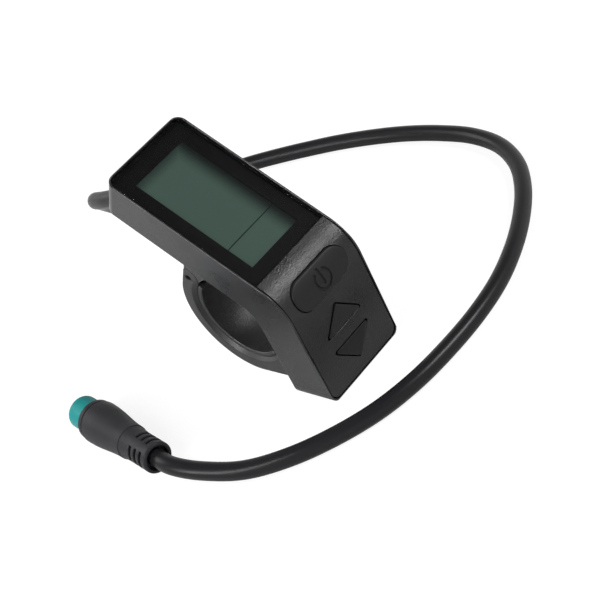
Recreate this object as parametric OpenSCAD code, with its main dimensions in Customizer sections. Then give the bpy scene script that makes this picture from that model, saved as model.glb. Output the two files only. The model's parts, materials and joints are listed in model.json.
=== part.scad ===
// Handlebar display with a tilted screen, a three key slope, a hinged bar clamp and a plug lead.
// Millimetres. X runs along the handlebar, Y points forward, Z points up.
// The origin is the centre of the handlebar bore. The display stands on its slope and its clamp.

/* [Case] */
// Width of the case along the handlebar
body_w = 25.6; // [24.5:0.1:30]
// Length of the head, from the corner of head and slope to the far end
head_l = 50.2; // [50:0.1:56]
// Thickness of the head
head_t = 10.9; // [10.6:0.1:12.5]
// Height of the key slope
slope_l = 30.4; // [30:0.1:32]
// Thickness of the key slope
slope_t = 11.8; // [11.5:0.1:14]
// Tilt of the screen above level
head_tilt = 36; // [34:1:38]
// Radius of the bend between head and slope
bend_r = 11.5; // [10:0.1:12]
// Radius of the hollow corner under the bend
inner_r = 7; // [5:0.1:9]
// Thickness of the case walls
wall = 1.4; // [1.2:0.1:1.7]
// Width of the rim that frames the lens and the key panel
rim_w = 0.45; // [0.35:0.05:0.8]
// Radius of the far corners of the head, seen from above
far_corner_r = 2.6; // [2:0.1:3.5]
// Radius of the lower corners of the slope, seen from the front
low_corner_r = 2.8; // [2:0.1:3.2]
// Depth of the tapering facet along the sides of the slope
facet_d = 0.4; // [0.2:0.05:0.45]
// Width of that facet at the foot of the slope
facet_w = 1.4; // [1:0.1:2]

/* [Screen] */
// Thickness of the lens
lens_t = 1.2; // [1:0.1:1.6]
// Distance from the corner to the near edge of the lens
lens_from = 7.5; // [7:0.1:8]
// Distance from the corner to the near edge of the window
window_from = 11.5; // [11:0.1:12]
// Distance from the window to the far end of the head
window_end = 6.5; // [6:0.1:8]
// Distance from the window to each side of the case
window_side = 4.6; // [4.2:0.1:5.5]
// Thickness of the black mask behind the lens
mask_t = 0.15; // [0.1:0.05:0.3]
// Length of the liquid crystal cell beyond the window, at each end
cell_over = 2.6; // [2:0.1:2.7]
// Distance from the liquid crystal cell to each side of the case
cell_side = 2.5; // [2.4:0.1:3]
// Thickness of the liquid crystal cell
cell_t = 1.1; // [0.9:0.1:1.3]
// Thickness of each polarising film
film_t = 0.2; // [0.15:0.05:0.3]
// Thickness of the light guide
guide_t = 2; // [1.6:0.1:2.2]
// Length of the light guide beyond the window, at each end
guide_over = 0.5; // [0.2:0.1:0.6]
// Thickness of the main board
board_t = 1; // [0.8:0.1:1.2]

/* [Keys] */
// Distance from the power key to each side of the case
power_side = 3.6; // [3.3:0.1:4.8]
// Height of the power key
power_h = 7.8; // [7:0.1:8.2]
// Distance of the power key's centre above the foot of the bend, along the surface
power_at = 3; // [2.6:0.1:3.2]
// Half of the width of the arrow keys
arrow_half = 6.1; // [5:0.1:6.5]
// Height of the arrow keys, as a share of the slope
arrow_share = 0.197; // [0.165:0.001:0.204]
// Distance from the corner down to the up key, as a share of the slope
up_share = 0.342; // [0.335:0.001:0.355]
// Distance between the two arrow keys, as a share of the slope
gap_share = 0.132; // [0.125:0.001:0.138]
// Height of the keys above the panel
key_raise = 0.45; // [0.3:0.05:0.8]
// Gap round each key
key_gap = 0.15; // [0.12:0.01:0.3]
// Travel of each key
key_travel = 0.4; // [0.3:0.05:0.5]

/* [Clamp] */
// Diameter of the handlebar
bar_d = 22.2; // [22:0.1:22.6]
// Thickness of the rubber pads
pad_t = 1.3; // [1.1:0.1:1.4]
// Thickness of the clamp ring outside the pads
ring_wall = 3.9; // [3.7:0.1:4.3]
// Width of the clamp along the handlebar
clamp_w = 16.6; // [15:0.1:18]
// Width of the rubber pads
pad_w = 15; // [13:0.1:15]
// Diameter of the hinge pin
pin_d = 1.5; // [1.3:0.1:1.6]
// Distance of the hinge pin behind the bore centre, along the screen
pin_y = 14.7; // [14.5:0.1:14.8]
// Height of the hinge pin above the bore centre, square to the screen
pin_z = 3.4; // [3.2:0.1:3.6]
// Radius of the strap knuckles
knuckle_r = 3.1; // [2.9:0.1:3.2]
// Width of the case ear between the knuckles
ear_w = 5; // [4:0.1:6]
// Distance of the clamp screw before the bore centre, along the screen
screw_y = 14.9; // [14.9:0.1:15.1]
// Diameter of the screw thread
screw_d = 3; // [2.8:0.1:3]
// Diameter of the screw head
screw_head_d = 5.5; // [5:0.1:5.6]
// Height of the screw head
screw_head_h = 3; // [2.6:0.1:3]
// Thickness of the strap under the screw head
lug_t = 4; // [3.8:0.1:4.2]
// Length of the threaded insert
insert_l = 3.6; // [3.4:0.1:3.8]
// Diameter of the threaded insert
insert_d = 4; // [3.9:0.1:4]

/* [Lead] */
// Diameter of the cord
cord_d = 4.4; // [4.4:0.1:4.4]
// Drop of the cord outlet below level
outlet_drop = 15; // [12:1:18]
// Diameter of the strain relief at the case
relief_d = 6.4; // [6:0.1:6.8]
// Length of the strain relief
relief_l = 12.4; // [12:0.1:12.6]
// Diameter of the plug body at its collar
plug_d = 10.8; // [10.4:0.1:10.8]
// Diameter of the plug's strain relief
plug_tail_d = 7.8; // [7.4:0.1:8.4]
// Diameter of the green plug nose
nose_d = 8.4; // [8:0.1:8.6]
// Length of the green plug nose outside the body
nose_l = 4.7; // [4.4:0.1:6]
// Diameter of each contact pin
contact_d = 0.9; // [0.8:0.05:1]

/* [Hidden] */
$fn = 28;
few = 16;
over = 1;
tiny = 0.02;
fit_gap = 0.05;
seam = 0.2;
seal_w = 0.55;
soft_gap = 0.3;
part_gap = 0.15;
sink = 0.1;

bar_r = bar_d / 2;
seat_r = bar_r + pad_t;
ring_r = seat_r + ring_wall;
ring_bite = 0.55;
floor_z = -ring_r;
bend_angle = 90 - head_tilt;
q_y = ring_bite - ring_r - slope_t;
q_z = slope_l - ring_r;
back_y = q_y + slope_t;
bend_run = bend_r * tan(bend_angle / 2);
far_edge_r = 1.2;
rim_edge_r = 0.3;
toe_r = 0.5;
heel_r = 1.6;
least_r = 0.25;
bead_t = 0.15;
panel_t = lens_t + mask_t - bead_t;
reach = head_l + slope_l;
cover_depth = lens_t + mask_t + sink;
cover_half = body_w / 2 - rim_w - seam / 2;
cover_far = head_l - rim_w - seam / 2;
cover_low = slope_l - rim_w - seam / 2;
panel_in = 0.12;

// Places in the side view: from the head's own directions, and from the clamp's
function head_at(y, z) = [
    q_y + y * cos(head_tilt) - z * sin(head_tilt),
    q_z + y * sin(head_tilt) + z * cos(head_tilt)];
function clamp_at(y, z) = [
    y * cos(head_tilt) - z * sin(head_tilt),
    y * sin(head_tilt) + z * cos(head_tilt)];

bend_c = head_at(bend_run, -bend_r);
under_z = q_z * cos(head_tilt) - q_y * sin(head_tilt) - head_t;
hollow_y = slope_t + inner_r;
hollow_c = [
    q_y + hollow_y,
    q_z + (hollow_y * sin(head_tilt) - head_t - inner_r) / cos(head_tilt)];

split_z = pin_z - insert_l / 2;
saddle_y = back_y - wall / 2;
knuckle_gap = 0.25;
ear_r = 2.2;
ear_share = 0.8;
bore_bevel = 1;
thread_deep = 0.25;
screw_core_r = screw_d / 2 - thread_deep;
screw_hole_r = screw_d / 2 + part_gap;
screw_tip = 0.4;
hex_r = 1.45;
hex_deep = 1.6;
pin_recess = 0.9;
head_hole_r = screw_head_d / 2 + seam;
strap_lift = 0.1;
insert_boss = 0.8;
lug_w = clamp_w - 2 * part_gap;

key_skirt = 0.55;
flange_t = 0.6;
flange_out = 0.7;
flange_rest = 0.15;
flange_depth = panel_t + sink + flange_rest;
switch_depth = flange_depth + flange_t + key_travel + soft_gap;
switch_t = 1.5;
switch_half = 2.2;
stem_r = 0.8;
stem_in = 0.7;
flex_depth = switch_depth + switch_t;
flex_t = 0.3;
flex_side = 4.3;
flex_half = body_w / 2 - flex_side;
carrier_t = 1.6;
power_l = body_w - 2 * power_side;
up_from = up_share * slope_l;
arrow_h = arrow_share * slope_l;
arrow_gap = gap_share * slope_l;
arrow_r = 0.4;
power_angle = power_at / bend_r * 180 / PI;
up_base = up_from + arrow_h;
down_base = up_base + arrow_gap;
down_tip = down_base + arrow_h;
tip_share = 0.45;

film_depth = lens_t + sink + mask_t + tiny;
cell_depth = film_depth + film_t;
back_film_depth = cell_depth + cell_t;
guide_depth = back_film_depth + film_t;
board_gap = 0.75;
board_depth = guide_depth + guide_t + board_gap;
window_w = body_w - 2 * window_side;
window_l = head_l - window_from - window_end;
window_mid = window_from + window_l / 2;
cell_w = body_w - 2 * cell_side;
cell_l = window_l + 2 * cell_over;
cell_shift = 0.3;
cell_from = window_mid - cell_l / 2 - cell_shift;
cell_to = cell_from + cell_l;
frame_half = body_w / 2 - wall - part_gap;
frame_far = head_l - wall - part_gap;
frame_lip = 1.9;
frame_near = cell_from - frame_lip;
flex_far = bend_run + sink;
jumper_t = 0.3;
jumper_in = 2.5;
jumper_half = flex_half - jumper_in;
jumper_gap = 0.15;
film_inset = 0.8;
frame_clear = 0.1;
strip_w = 1.3;
guide_l = window_l + 2 * guide_over;
guide_shift = 0.6;
guide_side = 0.8;
guide_from = window_mid - guide_l / 2 + guide_shift;
guide_w = cell_w - 2 * guide_side;
strip_in = 0.2;
board_screw_r = 0.6;
board_head_r = 1.2;
screw_in_near = 0.95;
screw_in_far = 1.55;
screw_in_side = 2.3;
board_head_h = 0.9;
board_screw_in = 1.6;
board_half = frame_half - soft_gap;
board_short = 0.5;
chip_w = 7;
chip_t = 1;
chip_back = 4;

core_r = 0.42;
core_ring = 1.05;
outlet_back = 7.15;
outlet_deep = 9.77;
outlet_root = head_at(head_l - outlet_back, -outlet_deep);
outlet_end = [0, outlet_root[0] + relief_l * cos(outlet_drop), outlet_root[1] - relief_l * sin(outlet_drop)];
outlet_wall = 1.3;
outlet_boss_r = relief_d / 2 + outlet_wall;
outlet_boss_l = 4.2;
relief_wall = 0.5;
relief_tip_d = cord_d + 2 * relief_wall;
relief_rim = 0.5;
relief_rim_t = 0.9;
relief_taper = 0.2;
relief_slots = 3;
relief_slot_first = 1.2;
relief_slot_step = 1.9;
relief_slot_w = 0.8;
relief_spine = 1.4;

plug_seat = [-43.2, 3, -11.6];
plug_heading = 8;
plug_pitch = 1.6;
plug_roll = -17;
tail_r = plug_tail_d / 2;
tail_edge = 0.3;
cup_depth = 1.5;
cup_wall = 0.9;
slots = 3;
slot_first = 0.7;
slot_step = 2.1;
slot_w = 0.95;
slot_depth = 1.1;
spine_w = 2.3;
tail_l = 6.5;
step_at = 9.3;
step_grow = 0.22;
step_h = 0.18;
taper_steps = 6;
collar_at = 23;
collar_front = 24.1;
ring_bevel = 0.25;
groove_w = 0.45;
groove_deep = 0.6;
front_rim = 0.45;
body_front = 26.3;
seal_t = 0.5;
seal_inset = 0.45;
nose_wall = 1.1;
nose_round = 1;
nose_floor = 1.6;
nose_key_w = 1;
nose_key_in = 0.6;
contacts = 5;
contact_ring = 1.7;
contact_l = 4;

// Round points on an arc
function arc(c, r, from, to, n) = [for (i = [0:n]) let (a = from + (to - from) * i / n)
    [c[0] + r * cos(a), c[1] + r * sin(a)]];
// The same list backwards
function reversed(v) = [for (i = [len(v) - 1:-1:0]) v[i]];
// Side view of the case, inset by d
function case_profile(d) =
    let (far = head_l - d,
         low = q_z - slope_l + d,
         r1 = max(far_edge_r - d, least_r),
         r2 = max(rim_edge_r - d, least_r),
         r3 = max(toe_r - d, least_r),
         r4 = max(heel_r - d, least_r))
    concat(
        arc(head_at(far - r1, r1 + d - head_t), r1, head_tilt - 90, head_tilt, 4),
        arc(head_at(far - r2, -d - r2), r2, head_tilt, head_tilt + 90, 3),
        arc(bend_c, bend_r - d, head_tilt + 90, 180, 10),
        arc([q_y + d + r3, low + r3], r3, 180, 270, 4),
        arc([back_y - d - r4, low + r4], r4, 270, 360, 4),
        arc(hollow_c, inner_r + d, 180, head_tilt + 90, 6));

// The path over screen, bend and slope at a depth below the surface
function top_path(far, low, d) = concat(
    [head_at(far, -d)],
    arc(bend_c, bend_r - d, head_tilt + 90, 180, 10),
    [[q_y + d, q_z - low]]);

// A side view carried across the case
module across(w) rotate([90, 0, 90]) linear_extrude(w, center = true) children();

// Prisms that round the far corners of the head and the lower corners of the slope
module head_prism(half, far, r) on_head() translate([0, 0, -reach]) linear_extrude(2 * reach)
    polygon(concat(
    [[-half - tiny, -reach], [half + tiny, -reach]],
    arc([half - r, far - r], r + tiny, 0, 90, 6),
    arc([r - half, far - r], r + tiny, 90, 180, 6)));
module slope_prism(half, low, r) on_slope() translate([0, 0, -reach]) linear_extrude(2 * reach)
    polygon(concat(
    [[half + tiny, reach], [-half - tiny, reach]],
    arc([r - half, r - low], r + tiny, 180, 270, 6),
    arc([half - r, r - low], r + tiny, 270, 360, 6)));

module case_solid(inset) intersection() {
    across(body_w - 2 * inset) polygon(case_profile(inset));
    head_prism(body_w / 2 - inset, head_l - inset, max(far_corner_r - inset, least_r));
    slope_prism(body_w / 2 - inset, slope_l - inset, max(low_corner_r - inset, least_r));
}

// A sheet that follows the top surface between two depths
module band(half, far, low, d0, d1, rf, rl) intersection() {
    across(2 * half) polygon(concat(top_path(far, low, d0), reversed(top_path(far, low, d1))));
    if (rf > 0) head_prism(half, far, rf);
    if (rl > 0) slope_prism(half, low, rl);
}

// Rings of points joined into one closed solid, with ladder ends
module skin(rings) {
    n = len(rings[0]);
    m = len(rings);
    pts = [for (r = rings) for (p = r) p];
    sides = [for (i = [0:m - 2]) for (j = [0:n - 1]) let (k = (j + 1) % n)
        each [[i * n + j, (i + 1) * n + j, (i + 1) * n + k], [i * n + j, (i + 1) * n + k, i * n + k]]];
    low_cap = [for (j = [0:n / 2 - 2]) each [[j, j + 1, n - 2 - j], [j, n - 2 - j, n - 1 - j]]];
    b = (m - 1) * n;
    high_cap = [for (j = [0:n / 2 - 2])
        each [[b + j, b + n - 2 - j, b + j + 1], [b + j, b + n - 1 - j, b + n - 2 - j]]];
    polyhedron(points = pts, faces = concat(sides, low_cap, high_cap), convexity = 4);
}

// Frames of the head, of the surface at an angle round the bend, and of the clamp
module on_head() translate([0, q_y, q_z]) rotate([head_tilt, 0, 0]) children();
module on_slope() translate([0, q_y, q_z]) rotate([90, 0, 0]) children();
module on_bend(angle) translate([0, bend_c[0], bend_c[1]]) rotate([90 - angle, 0, 0])
    translate([0, 0, bend_r]) children();
module on_clamp() rotate([head_tilt, 0, 0]) children();
module along_x(r, l) rotate([0, 90, 0]) cylinder(r = r, h = l, center = true);
module head_block(x, y0, y1, d0, d1) on_head() translate([-x, y0, -d1]) cube([2 * x, y1 - y0, d1 - d0]);

// A point on the key surface: across, along the surface above the foot of the bend, and outwards
function on_surface(x, a, h) = a >= 0
    ? let (t = a / bend_r * 180 / PI)
        [x, bend_c[0] - (bend_r + h) * cos(t), bend_c[1] + (bend_r + h) * sin(t)]
    : [x, q_y - h, bend_c[1] + a];

function pill(half_l, half_h, n) = [for (i = [0:n - 1]) let (a = (i + 0.5) * 360 / n)
    [half_h * cos(a) + sign(cos(a)) * (half_l - half_h), half_h * sin(a)]];

// A rounded arrow outline with its base at zero, shrunk towards its middle by an inset
function arrow(half, high, r, inset) =
    let (g = atan(high / half),
         rho = half * high / (half + sqrt(half * half + high * high)),
         k = 1 - (r + inset) / rho,
         mid = [0, rho],
         corner = [[half, 0], [0, high], [-half, 0]],
         c = [for (v = corner) mid + k * (v - mid)])
    concat(arc(c[0], r, -90, 90 - g, 5), arc(c[1], r, 90 - g, 90 + g, 5), arc(c[2], r, 90 + g, 270, 5));
// Steps of a key cap from its foot over its rounded edge: inset as a share of the key's half height,
// and height as a share of the key's raise
cap_shares = [[0, 0.2], [0.013, 0.55], [0.046, 0.85], [0.103, 1], [0.33, 1.05], [0.62, 1.08], [0.87, 1.08]];
under_shares = [0.87, 0.62, 0.33, 0.08];
arrow_shares = [[0, 0.3], [0.02, 0.6], [0.067, 0.88], [0.14, 1], [0.4, 1]];
power_points = 28;

// A point over the power key's flat outline, raised along its press axis to a height above the surface
function over_bend(p, h) =
    let (r = bend_r + h,
         w = p[1] > -r * sin(power_angle)
            ? sqrt(r * r - p[1] * p[1])
            : (r + p[1] * sin(power_angle)) / cos(power_angle))
    [p[0],
     bend_c[0] - w * cos(power_angle) + p[1] * sin(power_angle),
     bend_c[1] + w * sin(power_angle) + p[1] * cos(power_angle)];
function power_ring(inset, h) =
    [for (p = pill(power_l / 2 - inset, power_h / 2 - inset, power_points)) over_bend(p, h)];

module power_cap() skin(concat(
    [for (i = under_shares) power_ring(i * power_h / 2, -flange_depth - flange_t)],
    [power_ring(-flange_out, -flange_depth - flange_t), power_ring(-flange_out, -flange_depth)],
    [power_ring(0, -flange_depth)],
    [for (s = cap_shares) power_ring(s[0] * power_h / 2, key_raise * s[1])]));

// The arrow caps ramp up towards their tips
module arrow_cap(up) {
    base = bend_run - (up ? up_base : down_base);
    dir = up ? 1 : -1;
    function place(p, h) = on_surface(dir * p[0], base + dir * p[1], h);
    foot = [for (p = arrow(arrow_half, arrow_h, arrow_r, 0)) place(p, -flange_depth)];
    skin(concat([foot], [for (s = arrow_shares)
        [for (p = arrow(arrow_half, arrow_h, arrow_r, s[0] * arrow_h / 2))
            place(p, key_raise * s[1] * (tip_share / 4 + p[1] / arrow_h))]]));
}

module power_outline(grow) polygon(pill(power_l / 2 + grow, power_h / 2 + grow, power_points));
module arrow_outline(grow) polygon(arrow(arrow_half, arrow_h, arrow_r + max(grow, 0), -grow - max(grow, 0)));

// Prisms through the key surface, for the panel's holes and the keys' flanges
module power_prism(grow, from, t) on_bend(power_angle) translate([0, 0, -from - t])
    linear_extrude(t) power_outline(grow);
module arrow_prism(up, grow, from, t) on_slope()
    translate([0, up ? -up_base : -down_base, -from - t])
    mirror([0, up ? 0 : 1, 0]) linear_extrude(t) arrow_outline(grow);
arrow_mid = arrow_h / 3;
module at_arrow(up) on_slope() translate([0, up ? arrow_mid - up_base : -down_base - arrow_mid, 0])
    children();

// Case

module saddle_block() {
    a_y = (saddle_y + split_z * sin(head_tilt)) / cos(head_tilt);
    top = under_z + wall / 2;
    b_y = (saddle_y + top * sin(head_tilt)) / cos(head_tilt);
    rotate([90, 0, 90]) linear_extrude(clamp_w, center = true) polygon([
        clamp_at(a_y, split_z),
        clamp_at(0, split_z),
        clamp_at(0, pin_z + soft_gap),
        clamp_at(ring_r, pin_z + soft_gap),
        clamp_at(ring_r, top),
        clamp_at(b_y, top)]);
}

module hinge_ear() {
    front = ring_r - sink;
    flush = acos((front - pin_y) / ear_r);
    under = arc([pin_y, pin_z], ear_r, -180, -flush, 8);
    rotate([90, 0, 90]) linear_extrude(ear_w, center = true) polygon(concat(
        [for (p = under) clamp_at(p[0], p[1])],
        [clamp_at(front, pin_z + over), clamp_at(pin_y - ear_r, pin_z + over)]));
}

module screw_axis() on_clamp() translate([0, -screw_y, 0]) children();

module outlet_frame() translate(outlet_end) rotate([90 - outlet_drop, 0, 0]) children();

// A plane cut off each side of the slope, widest at the foot
facet_shares = [0.24, 2.4, 0.72];
module side_facets() for (s = [-1, 1]) {
    top = [s * body_w / 2, q_y, q_z - bend_run];
    across_foot = [-s * facet_d, 0, -slope_l];
    along_foot = [0, facet_w, -slope_l];
    out = s * over * unit(cross(along_foot, across_foot));
    low = [
        top - facet_shares[0] * (across_foot + along_foot),
        top + facet_shares[1] * across_foot - facet_shares[2] * along_foot,
        top + facet_shares[1] * along_foot - facet_shares[2] * across_foot];
    pts = concat(low, [for (p = low) p - out]);
    sides = [[0, 1, 2], [5, 4, 3], [0, 3, 4, 1], [1, 4, 5, 2], [2, 5, 3, 0]];
    polyhedron(points = pts, faces = s > 0 ? sides : [for (f = sides) reversed(f)]);
}

module case_shell() color("#333335") {
    difference() {
        union() {
            difference() {
                union() {
                    case_solid(0);
                    saddle_block();
                    outlet_frame() translate([0, 0, relief_l - outlet_boss_l])
                        cylinder(r = outlet_boss_r, h = outlet_boss_l);
                }
                case_solid(wall);
                band(cover_half + seam / 2, cover_far + seam / 2, cover_low + seam / 2, -over, cover_depth,
                    far_corner_r - rim_w, low_corner_r - rim_w);
                on_clamp() along_x(seat_r, clamp_w + over);
                for (s = [-1, 1]) on_clamp()
                    translate([s * (ear_w / 2 + knuckle_gap + clamp_w / 2), pin_y, pin_z])
                    along_x(knuckle_r + knuckle_gap, clamp_w);
                side_facets();
            }
            hinge_ear();
            screw_axis() translate([0, 0, split_z + tiny])
                cylinder(r = insert_d / 2 + insert_boss, h = insert_l + over + insert_boss);
        }
        on_clamp() translate([0, pin_y, pin_z]) along_x(pin_d / 2 + fit_gap, clamp_w);
        screw_axis() translate([0, 0, split_z - over]) cylinder(r = insert_d / 2, h = insert_l + over);
        screw_axis() translate([0, 0, split_z]) cylinder(r = screw_hole_r, h = insert_l + over);
        outlet_frame() cylinder(r = relief_d / 2 + fit_gap / 2, h = relief_l + over);
        outlet_frame() cylinder(r = relief_d / 2 + relief_rim + fit_gap, h = relief_l - outlet_boss_l);
        outlet_frame() cylinder(r = core_ring + core_r + fit_gap, h = relief_l + 4 * over);
        on_clamp() along_x(seat_r, clamp_w + over);
    }
}

module cover_plate(t, y0, half, far) {
    r = far_corner_r - rim_w;
    linear_extrude(t) polygon(concat(
        [[-half, y0], [half, y0]],
        arc([half - r, far - r], r, 0, 90, 6),
        arc([r - half, far - r], r, 90, 180, 6)));
}

module window_cut(t) translate([-window_w / 2, window_from, 0]) cube([window_w, window_l, t]);

module lens() color("#1c1c20", 0.5)
    on_head() translate([0, 0, -sink - lens_t])
        cover_plate(lens_t, lens_from + seam / 2, cover_half, cover_far);

module lens_mask() color("#0c0c0e")
    on_head() translate([0, 0, -sink - lens_t - mask_t]) difference() {
        cover_plate(mask_t, lens_from + seam / 2, cover_half, cover_far);
        translate([0, 0, -over]) window_cut(mask_t + 2 * over);
    }

module front_panel() color("#38383a") difference() {
    band(cover_half - panel_in, lens_from - seam / 2, cover_low - panel_in, sink, panel_t + sink,
        0, low_corner_r - rim_w);
    power_prism(key_gap, -key_raise - over, panel_t + key_raise + 3 * over);
    arrow_prism(true, key_gap, -over, panel_t + 2 * over);
    arrow_prism(false, key_gap, -over, panel_t + 2 * over);
}

// A thin bead of sealant under the edge of the key panel
module panel_seal() color("#202022") for (s = [-1, 1])
    translate([s * (cover_half - seal_w / 2 - tiny), 0, 0]) across(seal_w) polygon(concat(
        top_path(lens_from - seam, cover_low - low_corner_r, panel_t + sink + tiny),
        reversed(top_path(lens_from - seam, cover_low - low_corner_r, cover_depth - tiny))));

// Keys

module power_key() color("#2c2c2e") power_cap();

module up_key() color("#2c2c2e") {
    arrow_cap(true);
    arrow_prism(true, flange_out, flange_depth, flange_t);
}

module down_key() color("#2c2c2e") {
    arrow_cap(false);
    arrow_prism(false, flange_out, flange_depth, flange_t);
}

module key_stem() translate([0, 0, -flange_depth - flange_t - key_travel - soft_gap - stem_in])
    cylinder(r = stem_r, h = key_travel + soft_gap + stem_in - tiny);
module power_stem() color("#d8d4c8") on_bend(power_angle) key_stem();
module up_stem() color("#d8d4c8") at_arrow(true) key_stem();
module down_stem() color("#d8d4c8") at_arrow(false) key_stem();

module switch_body() translate([0, 0, -switch_depth - switch_t]) difference() {
    translate([-switch_half, -switch_half, 0]) cube([2 * switch_half, 2 * switch_half, switch_t]);
    translate([0, 0, switch_t - stem_in - key_travel - part_gap])
        cylinder(r = stem_r + part_gap, h = stem_in + key_travel + over);
}

module key_switches() color("#4a4a4c") {
    on_bend(power_angle) switch_body();
    at_arrow(true) switch_body();
    at_arrow(false) switch_body();
}

module key_flex() color("#b5762a")
    band(flex_half, flex_far, down_tip, flex_depth + tiny, flex_depth + flex_t, 0, 1);

module key_carrier() color("#3e3e42") {
    d = flex_depth + flex_t + tiny;
    band(flex_half, flex_far, down_tip, d, d + carrier_t, 0, 1);
    for (s = [-1, 1]) on_slope()
        translate([s * (flex_half - over) - over / 2, -down_tip, -slope_t + wall + tiny])
        cube([over, down_tip - up_from, slope_t - wall - d - carrier_t + over - tiny]);
}

// Screen and electronics

module centred_plate(w, l, d, t) head_block(w / 2, window_mid - l / 2, window_mid + l / 2, d, d + t);

module front_polariser() color("#5d6b64", 0.8)
    head_block(cell_w / 2 - film_inset, cell_from + film_inset, cell_to - film_inset,
        film_depth, cell_depth);
module lcd_cell() color("#7d8f86", 0.7)
    head_block(cell_w / 2, cell_from, cell_to, cell_depth, back_film_depth);
module back_polariser() color("#8c9a8e")
    head_block(cell_w / 2 - film_inset, guide_from, cell_to - film_inset, back_film_depth, guide_depth);
module light_guide() color("#dfe8e2", 0.9)
    head_block(guide_w / 2, guide_from, guide_from + guide_l, guide_depth, guide_depth + guide_t);
module contact_strip() color("#a8483c")
    head_block(cell_w / 2 - film_inset, cell_from + strip_in, cell_from + strip_in + strip_w,
        back_film_depth, board_depth);

module at_board_screws() for (s = [-1, 1]) for (y = [frame_near + screw_in_near, frame_far - screw_in_far])
    on_head() translate([s * (frame_half - screw_in_side), y, -board_depth - board_t]) children();

module lcd_frame() color("#e6e6e2") difference() {
    on_head() translate([0, 0, -board_depth])
        cover_plate(board_depth - cell_depth, frame_near, frame_half, frame_far);
    head_block(cell_w / 2 + frame_clear, cell_from - frame_clear, cell_to + frame_clear, cell_depth - over,
        guide_depth);
    head_block(guide_w / 2 + frame_clear, cell_from - frame_clear, cell_to - film_inset, cell_depth - over,
        board_depth + over);
    at_board_screws() cylinder(r = board_screw_r, h = board_t + board_screw_in);
}

module main_board() color("#1f5a38") difference() {
    on_head() translate([0, 0, -board_depth - board_t])
        cover_plate(board_t, frame_near, board_half, frame_far - board_short);
    at_board_screws() translate([0, 0, -over]) cylinder(r = board_screw_r + fit_gap, h = board_t + 2 * over);
}

module board_screws() color("#9a9a9c") at_board_screws() {
    translate([0, 0, -tiny]) cylinder(r = board_screw_r, h = tiny + board_t + board_screw_in, $fn = few);
    translate([0, 0, -board_head_h]) cylinder(r = board_head_r, h = board_head_h, $fn = few);
}

module controller_chip() color("#18181a") head_block(chip_w / 2, window_mid - chip_back - chip_w,
    window_mid - chip_back, board_depth + board_t, board_depth + board_t + chip_t);

// Small parts: place as shares of the board's half width and length, and size as shares of the chip's width
part_shares = [
    [-0.54, 0.13, 0.46, 0.37, 0.17], [0.5, 0.15, 0.29, 0.57, 0.13], [0.58, 0.34, 0.34, 0.34, 0.2],
    [-0.64, 0.32, 0.23, 0.12, 0.09], [-0.64, 0.38, 0.23, 0.12, 0.09], [0.54, 0.5, 0.5, 0.29, 0.17],
    [-0.6, 0.55, 0.31, 0.43, 0.14], [0, 0.6, 0.23, 0.12, 0.09]];
module board_parts() color("#6b5a3c") for (p = part_shares)
    on_head() translate([
        p[0] * board_half - p[2] * chip_w / 2,
        frame_near + p[1] * (frame_far - frame_near),
        -board_depth - board_t - p[4] * chip_w])
        cube([p[2] * chip_w, p[3] * chip_w, p[4] * chip_w]);

// A flat jumper joins the key flex to the main board
module board_jumper() color("#c98a3a")
    head_block(jumper_half, frame_near - jumper_gap - jumper_t, frame_near - jumper_gap,
        flex_depth + tiny, board_depth + board_t);

// Lead

module strain_relief() color("#1a1a1c") outlet_frame() difference() {
    neck = relief_l - outlet_boss_l;
    rotate_extrude() polygon([
        [0, 0],
        [relief_tip_d / 2, 0],
        [relief_d / 2 - relief_taper, neck - relief_rim_t - sink],
        [relief_d / 2 + relief_rim, neck - relief_rim_t],
        [relief_d / 2 + relief_rim, neck - tiny],
        [relief_d / 2, neck - tiny],
        [relief_d / 2, relief_l],
        [0, relief_l]]);
    for (i = [0:relief_slots - 1]) translate([0, 0, relief_slot_first + relief_slot_step * i]) difference() {
        cylinder(r = relief_d, h = relief_slot_w);
        translate([0, 0, -over]) cylinder(r = cord_d / 2 + sink, h = relief_slot_w + 2 * over);
        translate([-relief_d, -relief_spine / 2, -over]) cube([2 * relief_d, relief_spine, 3 * over]);
    }
}

module core_wires() color("#b04030") intersection() {
    outlet_frame() for (i = [1:contacts]) rotate([0, 0, 360 / contacts * i])
        translate([core_ring, 0, relief_l + tiny])
        cylinder(r = core_r, h = 2 * relief_l, $fn = few);
    head_block(body_w / 2, 0, head_l, board_depth + board_t + tiny, head_t);
}

// The cord's middle line: out of the strain relief, down behind the head, along the floor, into the plug
cord_points = [
    [0, 25, 28.3], [0, 30, 27], [0, 36, 25.4], [0.2, 42, 23.7], [1.4, 48, 21.6], [4, 53.2, 18.7],
    [8, 60, 14.4], [12, 66.4, 9.8], [17, 71.6, 3.8], [22.6, 75.8, -3], [29.4, 79, -9.2], [37, 80.4, -13],
    [45, 78.6, -14.1], [52.6, 73, -14.1], [58.4, 66, -14.1], [63.6, 57.6, -14.1], [68.4, 48.6, -14.1],
    [72.6, 39.8, -14.1], [76.4, 29.6, -14.1], [79.2, 19.4, -14.1], [80.8, 8.6, -14.1], [81, -2.4, -14.1],
    [78.4, -13.2, -14.1], [72.4, -22.8, -14.1], [64, -30.4, -14.1], [54, -36.6, -14.1], [43.4, -41.4, -14.1],
    [32, -44.8, -14.1], [20.4, -46.2, -14.1], [8.8, -46, -14.1], [-2.2, -44.6, -14.1], [-12.8, -41.4, -14.1],
    [-22.6, -36, -14.1], [-31, -29.2, -14.1], [-37.6, -20.8, -14.1], [-41.8, -11.4, -13.2],
    [-43.8, -3.4, -12.1], [-43.2, 3, -11.6]];
cord_fall = 10;
cord_route = [for (i = [0:len(cord_points) - 1])
    cord_points[i] + max(1 - i / cord_fall, 0) * (outlet_end - cord_points[0])];
cord_sides = 12;

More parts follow.
